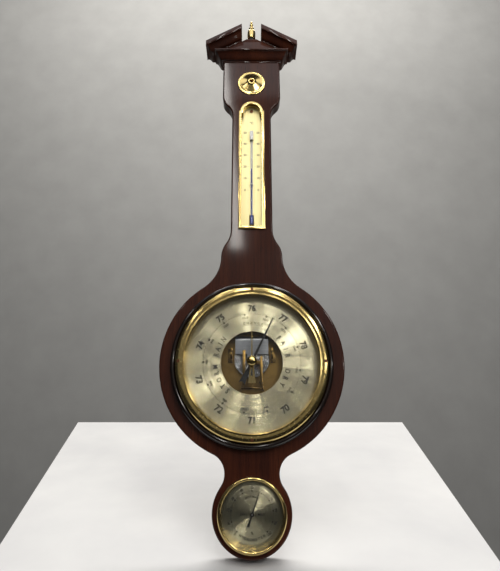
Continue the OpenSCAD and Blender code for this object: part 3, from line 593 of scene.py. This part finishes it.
def bezel_screw_heads():
    """The domed heads that show on the face of the large bezel."""
    front = front_of("bezel")
    reach = (half_width("bezel") + half_width("glass") + PANE_GAP) / 2
    dome = [(0.0, front - 2.0 * MM), (1.7 * MM, front - 2.0 * MM), (1.7 * MM, front + 0.05 * MM),
            (1.2 * MM, front + 0.3 * MM), (0.0, front + 0.4 * MM)]
    heads = bmesh.new()
    for quarter in range(4):
        turn = quarter * math.pi / 2
        centre = (reach * math.sin(turn), 0.0, dial_z + reach * math.cos(turn))
        head = spun(dome, centre, True, steps=24)
        mesh = bpy.data.meshes.new("screw_head")
        head.to_mesh(mesh)
        head.free()
        heads.from_mesh(mesh)
        bpy.data.meshes.remove(mesh)
    finish_piece(heads, "bezel_screw_heads", body_of["bezel_screws"], slot_of["bezel_screws"])


ring_moulding()
large_bezel()
bezel_screw_heads()
small_bezel()
print("ring moulding and bezels ready")

# %% [markdown]
# Reflector rings
#
# Between each glass and its dial sits a bright conical ring. It hides the glass's edge and throws light
# onto the scale.

# %% Reflectors, knob, rosette and finial
def reflector(node, dial, pane, centre, slope, inset):
    """A conical ring that fills the room between a dial and its glass."""
    outer = half_width(pane)
    back = front_of(dial) + SEAT_GAP
    front = -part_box(pane)[1][1] - SEAT_GAP
    top = half_width(node) - inset
    turned(node, [(outer, back), (outer, front), (top, front), (top - slope, back)], centre)


def knob():
    """The set hand's knob: a shaft through the glass and a domed head."""
    low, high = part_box("set_knob")
    r = half_width("set_knob")
    front, back = -low[1], -high[1]
    base = front_of("bezel") + 0.3 * MM
    shaft = 1.2 * MM
    rise = front - base
    dome = [(r * math.cos(math.radians(6 * i)), base + rise * (0.45 + 0.55 * math.sin(math.radians(6 * i))))
            for i in range(16)]
    dome[-1] = (0.0, front)
    profile = [(0.0, back), (shaft, back), (shaft, base), (r - 0.6 * MM, base), (r, base + 0.6 * MM)] + dome
    turned("set_knob", profile, DIAL_CENTRE, closed=False, steps=64)


def rosette():
    """A turned boss whose outline is given as shares of its radius and height."""
    r = half_width("rosette")
    h = front_of("rosette") - board_front
    foot = board_front + SEAT_GAP
    shares = [(0.075, 0.0), (0.075, 0.12), (0.115, 0.14), (0.125, 0.8), (0.145, 0.95), (0.19, 1.0),
              (0.25, 0.95), (0.28, 0.84), (0.33, 0.77), (0.48, 0.60), (0.7, 0.35), (0.87, 0.165),
              (0.9, 0.185), (0.93, 0.19), (0.96, 0.165), (0.99, 0.09), (1.0, 0.0)]
    profile = [(s * r, foot + t * h) for s, t in shares]
    turned("rosette", profile, (0.0, 0.0, 0.0), steps=96, degrees=40)


def finial():
    """The turned spire between the two rakes, outlined in shares of its radius and height."""
    low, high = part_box("finial")
    r = half_width("finial")
    h = high[2] - low[2]
    shares = [(0.72, 0.0), (0.72, 0.03), (0.6, 0.05), (0.62, 0.08), (0.9, 0.14), (0.99, 0.22), (1.0, 0.42),
              (0.9, 0.5), (0.62, 0.55), (0.5, 0.58), (0.66, 0.61), (0.66, 0.65), (0.42, 0.68), (0.34, 0.74),
              (0.43, 0.79), (0.43, 0.83), (0.26, 0.87), (0.3, 0.92), (0.22, 0.97), (0.0, 1.0)]
    curve = smooth_profile([(s * r, t * h) for s, t in shares], 4)
    base = (0.0, (low[1] + high[1]) / 2, low[2])
    turned("finial", [(0.0, 0.0)] + curve, base, closed=False, axis=(0, 0, 1), steps=48, degrees=50)


reflector("reflector_ring", "dial", "glass", DIAL_CENTRE, 1.7 * MM, 2.25 * MM)
reflector("hygro_spacer", "hygro_dial", "hygro_glass", HYGRO_CENTRE, 0.2 * MM, 2.0 * MM)
knob()
rosette()
finial()
print("turned ornaments ready")

# %% [markdown]
# The aneroid capsule
#
# The capsule is two thin corrugated discs soldered at the rim, with the air pumped out. Its ripples are
# what catches the light in the open window, so it is turned with a fine wave.

# %% Capsule
STUD_HEIGHT = 1.8 * MM
STUD_RADIUS = 1.8 * MM
RIPPLE = 0.4 * MM


def capsule():
    """The rippled discs from the rim to the stud, as one outline turned about the capsule's axis."""
    low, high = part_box("capsule")
    centre = (0.0, 0.0, (low[2] + high[2]) / 2)
    r = half_width("capsule")
    back = -high[1]
    stud_front = -low[1]
    top = stud_front - STUD_HEIGHT
    rim = (back + top) / 2
    waves = 8
    steps = 96
    crown = []
    for i in range(steps + 1):
        share = 1 - i / steps
        swell = rim + (top - rim) * (0.55 + 0.25 * (1 - share))
        ripple = RIPPLE * math.sin(2 * math.pi * waves * share) if share > 0.2 else 0.0
        crown.append((max(share * (r - RIPPLE), STUD_RADIUS), swell + ripple))
    crown = [p for i, p in enumerate(crown) if i == 0 or p[0] > 1.81 * MM]
    profile = [(0.0, back), (r - 1.2 * MM, back), (r - 0.5 * MM, rim - 0.5 * MM), (r, rim)] + crown
    profile += [(STUD_RADIUS, crown[-1][1]), (STUD_RADIUS, stud_front), (0.0, stud_front)]
    turned("capsule", profile, centre, closed=False, steps=128, degrees=60)


capsule()
print("capsule ready")

# %% [markdown]
# Printed scales
#
# The scales are printed in black. Numbers and letters are text turned into thin meshes; lines, ticks and
# dots are flat shapes a few hundredths of a millimetre thick. Each scale is one piece, as it is one layer
# of ink. Angles run clockwise from the top, as on the dials.

# %% Print helpers
INK_T = 0.012 * MM
ARC_STEP = 3.0


def add_text(bm, text, size, place, turn=0.0, weight=0.02, squeeze=1.0):
    """Adds a line of text, centred on a place in the front view and turned clockwise in degrees."""
    curve = bpy.data.curves.new("lettering", "FONT")
    curve.body = text
    curve.size = size
    curve.align_x = "CENTER"
    curve.align_y = "CENTER"
    curve.extrude = INK_T
    curve.offset = size * weight
    curve.resolution_u = 4
    holder = bpy.data.objects.new("lettering", curve)
    mesh = bpy.data.meshes.new_from_object(holder)
    low = min(v.co.y for v in mesh.vertices)
    high = max(v.co.y for v in mesh.vertices)
    centred = Matrix.Translation((0.0, -(low + high) / 2, 0.0))
    spin = Matrix.Rotation(-math.radians(turn), 4, "Z")
    stand = Matrix.Rotation(math.pi / 2, 4, "X")
    narrow = Matrix.Diagonal((squeeze, 1.0, 1.0, 1.0))
    mesh.transform(Matrix.Translation(place) @ stand @ spin @ narrow @ centred)
    bm.from_mesh(mesh)
    bpy.data.objects.remove(holder)
    bpy.data.curves.remove(curve)
    bpy.data.meshes.remove(mesh)


def on_dial(centre, radius, degrees):
    """A place on a dial: the centre holds the height of the ink in Y."""
    turn = math.radians(degrees)
    return Vector((centre[0] + radius * math.sin(turn), centre[1], centre[2] + radius * math.cos(turn)))


def add_bar(bm, start, end, width):
    """A thin printed line between two places."""
    along = end - start
    length = along.length
    angle = math.atan2(along.x, along.z)
    matrix = (Matrix.Translation((start + end) / 2) @ Matrix.Rotation(angle, 4, "Y")
              @ Matrix.Diagonal((width, 2 * INK_T, length, 1.0)))
    bmesh.ops.create_cube(bm, size=1.0, matrix=matrix)


def add_tick(bm, centre, inner, outer, degrees, width):
    """A short line that points at the centre of a dial."""
    add_bar(bm, on_dial(centre, inner, degrees), on_dial(centre, outer, degrees), width)


def add_dot(bm, place, radius, segments=14):
    """A thin printed disc."""
    matrix = Matrix.Translation(place) @ Matrix.Rotation(math.pi / 2, 4, "X")
    bmesh.ops.create_cone(bm, cap_ends=True, segments=segments, radius1=radius, radius2=radius,
                          depth=2 * INK_T, matrix=matrix)


def add_arc(bm, centre, radius, start, end, width):
    """A printed arc, made of short lines."""
    count = max(2, int(abs(end - start) / ARC_STEP))
    for i in range(count):
        a = start + (end - start) * i / count
        b = start + (end - start) * (i + 1) / count
        add_bar(bm, on_dial(centre, radius, a), on_dial(centre, radius, b), width)


def add_curved_text(bm, text, centre, radius, middle_angle, size, pitch, squeeze=1.0):
    """Letters along an arc, read clockwise, with one pitch in degrees between them."""
    for i, letter in enumerate(text):
        if letter != " ":
            angle = middle_angle + (i - (len(text) - 1) / 2) * pitch
            add_text(bm, letter, size, on_dial(centre, radius, angle), angle, squeeze=squeeze)


def printed(bm, name):
    """Turns a scale's mesh into one piece of ink on the case."""
    finish_piece(bm, name, "case", "black_paint", degrees=40, material=finishes["ink"])
    print(name, "ready")


# %% [markdown]
# The barometer's scales
#
# Centimetres of mercury run from 70 to 79, with 36 degrees for each. Hectopascals run from 940 to 1060 on
# the inner ring, with 27 degrees for each ten, and a dot marks each ten. The weather words stand between
# the ring and the window. Numbers in the lower half are turned the other way up, so that they stay
# readable.

# %% Barometer scale
DEGREES_PER_CENTIMETRE = 36.0
DEGREES_PER_TEN_HECTOPASCALS = 27.0
ANGLE_OF_1020 = 18.2
ANGLE_OF_940 = -197.8
ANGLE_OF_1060 = 126.2


def readable(angle):
    """Turn for a number at an angle, upright in the lower half too."""
    angle = angle % 360
    return angle + 180 if 115 < angle < 265 else angle


def barometer_print():
    """Two scales on one ring, centimetres outside and hectopascals inside, with the weather words."""
    bm = bmesh.new()
    centre = (0.0, -front_of("dial") - INK_T, dial_z)
    ring = 52.4 * MM
    numbers = 58.8 * MM
    foot = ring + 0.2 * MM
    for i in range(10):
        angle = (i - 6) * DEGREES_PER_CENTIMETRE
        add_text(bm, str(70 + i), 9.4 * MM, on_dial(centre, numbers, angle), readable(angle), 0.03, 0.92)
        for tenth in range(10):
            length = (2.6, 1.3)[tenth % 5 != 0] * MM
            add_tick(bm, centre, foot, foot + length, angle + 3.6 * tenth, 0.22 * MM)
    for i in range(13):
        angle = ANGLE_OF_1020 + (i - 8) * DEGREES_PER_TEN_HECTOPASCALS
        add_dot(bm, on_dial(centre, ring - 0.4 * MM, angle), 1.05 * MM)
        add_text(bm, str(940 + 10 * i), 3.4 * MM, on_dial(centre, ring - 4.0 * MM, angle), readable(angle))
        if i < 12:
            for fifth in range(1, 5):
                add_tick(bm, centre, ring - 1.4 * MM, ring - 0.2 * MM, angle + 5.4 * fifth, 0.18 * MM)
    add_arc(bm, centre, ring, ANGLE_OF_940, ANGLE_OF_1060, 0.2 * MM)
    words = (("STORM", -118.0, 10.5), ("RAIN", -65.0, 9.0), ("FAIR", 64.0, 10.5), ("DRY", 115.0, 11.0))
    for word, angle, pitch in words:
        add_curved_text(bm, word, centre, 39.3 * MM, angle, 7.6 * MM, pitch, 0.78)
    add_curved_text(bm, "CHANGE", centre, 42.4 * MM, 2.0, 3.4 * MM, 5.4)
    add_arc(bm, centre, 40.2 * MM, -16.0, 20.0, 0.35 * MM)
    printed(bm, "barometer_print")


barometer_print()

# %% [markdown]
# The hygrometer's scale
#
# Humidity runs from 0 to 100 percent over 270 degrees, with a dot for each ten and its number outside the
# ring. The word along the lower rim has its letters upright, so that it reads from left to right.

# %% Hygrometer scale
def hygrometer_print():
    """The ring of humidity with its words."""
    bm = bmesh.new()
    centre = (0.0, -front_of("hygro_dial") - INK_T, hygro_z)
    ring = 20.8 * MM
    for i in range(11):
        angle = -135.0 + 27.0 * i
        add_dot(bm, on_dial(centre, ring, angle), 0.75 * MM, 12)
        add_text(bm, str(10 * i), 3.3 * MM, on_dial(centre, ring + 2.9 * MM, angle), readable(angle))
        if i < 10:
            for fifth in range(1, 5):
                add_tick(bm, centre, ring - 0.3 * MM, ring + 0.4 * MM, angle + 5.4 * fifth, 0.14 * MM)
    add_arc(bm, centre, ring, -135.0, 135.0, 0.14 * MM)
    add_curved_text(bm, "NORMAL", centre, 15.6 * MM, 0.0, 2.8 * MM, 9.0)
    add_text(bm, "DRY", 2.5 * MM, on_dial(centre, 9.2 * MM, -90.0))
    add_text(bm, "MOIST", 2.5 * MM, on_dial(centre, 9.2 * MM, 90.0))
    word = "HYGROMETER"
    for i, letter in enumerate(word):
        angle = 180.0 - (i - (len(word) - 1) / 2) * 7.2
        add_text(bm, letter, 3.2 * MM, on_dial(centre, 21.6 * MM, angle), angle + 180.0, 0.03)
    add_text(bm, "%", 3.6 * MM, on_dial(centre, 16.0 * MM, 180.0))
    printed(bm, "hygrometer_print")


hygrometer_print()

# %% [markdown]
# The thermometer's scale
#
# Degrees Celsius stand on both sides of the tube. One degree takes the same height everywhere, so the whole
# scale follows from two numbers: the height of 20 degrees and the height of a degree.

# %% Thermometer scale
def thermometer_print():
    """Ticks on both sides of the tube for every second degree, and a number for every tenth."""
    bm = bmesh.new()
    depth = front_of("thermometer_plate") + INK_T
    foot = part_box("thermometer_frame")[0][2]
    twenty = foot + 87.1 * MM
    degree = 1.63 * MM

    def place(x, celsius):
        return Vector((x, -depth, twenty + (celsius - 20.0) * degree))

    for celsius in range(-20, 51, 2):
        for side in (-1, 1):
            reach = (5.0, 3.9)[celsius % 10 != 0] * MM
            add_bar(bm, place(side * 2.8 * MM, celsius), place(side * reach, celsius), 0.16 * MM)
            if celsius % 10 == 0 and celsius >= 0:
                add_text(bm, str(celsius), 4.0 * MM, place(side * 8.2 * MM, celsius))
    add_text(bm, "°C", 4.6 * MM, place(0.0, 59.0))
    printed(bm, "thermometer_print")


thermometer_print()

# %% [markdown]
# Table and wall
#
# The case leans back on a pale table in front of a grey wall, so in its own frame the table slopes.

# %% Stage
def stage_plane(name, corners, dark, light, rough):
    """A flat sheet that belongs to the stage and not to the model."""
    finish = Finish(name)
    weave = finish.noise(finish.stretched(9, 9, 9), detail=4.0)
    finish.set(Base_Color=finish.ramp(weave, (0.3, dark), (0.7, light)), Roughness=rough)
    bm = bmesh.new()
    bm.faces.new([bm.verts.new(corner) for corner in corners])
    mesh = bpy.data.meshes.new(name)
    bm.to_mesh(mesh)
    bm.free()
    mesh.materials.append(finishes[name])
    plane = bpy.data.objects.new(name, mesh)
    bpy.context.scene.collection.objects.link(plane)


WALL_Y = 1.7
SPREAD = 4.0
TABLE_SLOPE = math.tan(math.radians(15.0))
TABLE_DROP = 0.0006
table_edge = [(-0.234, -0.12), (0.226, -0.12), (0.298, 0.487), (-0.341, 0.487)]
table_top = [(x, y, floor_z - TABLE_DROP + y * TABLE_SLOPE) for x, y in table_edge]
stage_plane("pale_table", table_top, (0.60, 0.60, 0.61), (0.68, 0.68, 0.68), 0.8)
wall_edge = [(-SPREAD, -SPREAD), (SPREAD, -SPREAD), (SPREAD, SPREAD), (-SPREAD, SPREAD)]
wall_face = [(x, WALL_Y, z) for x, z in wall_edge]
stage_plane("grey_wall", wall_face, (0.30, 0.30, 0.295), (0.33, 0.33, 0.325), 0.9)
print("table and wall ready")

# %% [markdown]
# Lamps
#
# One broad soft lamp high in front gives the head its grey sheen and leaves the lower wood dark. Six slim
# lamps around the viewer draw the fans on the spun dials. A fan runs along the line halfway between the
# lamp's direction and the viewer's, so a lamp's place follows from the angle of its fan. Three more lamps
# behind the case light the wall, the table and the case's back.

# %% Lamps
def lamp(name, place, aim, size, power, colour=(1.0, 0.97, 0.92), roll=0.0):
    """Adds a rectangular lamp aimed at a point, turned about its own beam by a roll."""
    light = bpy.data.lights.new(name, "AREA")
    light.shape = "RECTANGLE"
    light.size, light.size_y = size
    light.energy = power
    light.color = colour
    holder = bpy.data.objects.new(name, light)
    holder.location = place
    direction = Vector(aim) - Vector(place)
    aimed = direction.to_track_quat("-Z", "Y") @ Quaternion((0.0, 0.0, 1.0), roll)
    holder.rotation_euler = aimed.to_euler()
    bpy.context.scene.collection.objects.link(holder)


dial_place = Vector((0.0, -board_front, dial_z))
to_viewer = (camera.location - dial_place).normalized()
FAN_LEAN = 0.5
LAMP_DISTANCE = 1.5
LAMP_LENGTH = 0.75
LEAST_AHEAD = 0.05
fans = [(-7, 0.05, 2.6), (20, 0.05, 2.6), (60, 0.11, 4.6), (92, 0.04, 1.3),
        (308, 0.035, 1.0), (332, 0.03, 0.4)]
for index, (degrees, width, power) in enumerate(fans):
    turn = math.radians(degrees)
    across = FAN_LEAN * math.sin(turn) - to_viewer.x
    up = FAN_LEAN * math.cos(turn) - to_viewer.z
    ahead = -math.sqrt(max(1.0 - across ** 2 - up ** 2, LEAST_AHEAD))
    direction = Vector((across, ahead, up)).normalized()
    place = dial_place + direction * LAMP_DISTANCE
    lamp("fan_lamp_%d" % index, place, dial_place, (width, LAMP_LENGTH), power, roll=-turn)
lamp("room", (0.0, -2.0, dial_z + 0.35), (0.0, 0.0, dial_z), (2.6, 0.9), 1.1)
lamp("ceiling", (0.0, -1.15, 1.35), (0.0, 0.0, -0.1), (2.4, 0.9), 10.0, (0.97, 0.98, 1.0))
lamp("wall_wash", (0.0, 0.55, 2.4), (0.0, 1.7, 0.2), (2.6, 0.6), 74.0)
lamp("table_light", (0.3, 0.5, 1.4), (0.0, 0.3, -0.5), (0.8, 0.8), 10.0)
lamp("rear_fill", (-0.8, 1.6, 2.6), (-0.8, 0.0, 2.6), (1.0, 1.0), 8.0)

AIR = (0.55, 0.56, 0.58, 1.0)
AIR_STRENGTH = 0.05
world = bpy.data.worlds.new("room")
bpy.context.scene.world = world
world.use_nodes = True
background = world.node_tree.nodes["Background"]
background.inputs["Color"].default_value = AIR
background.inputs["Strength"].default_value = AIR_STRENGTH
bpy.context.scene.view_settings.view_transform = "Standard"
print("lamps ready")
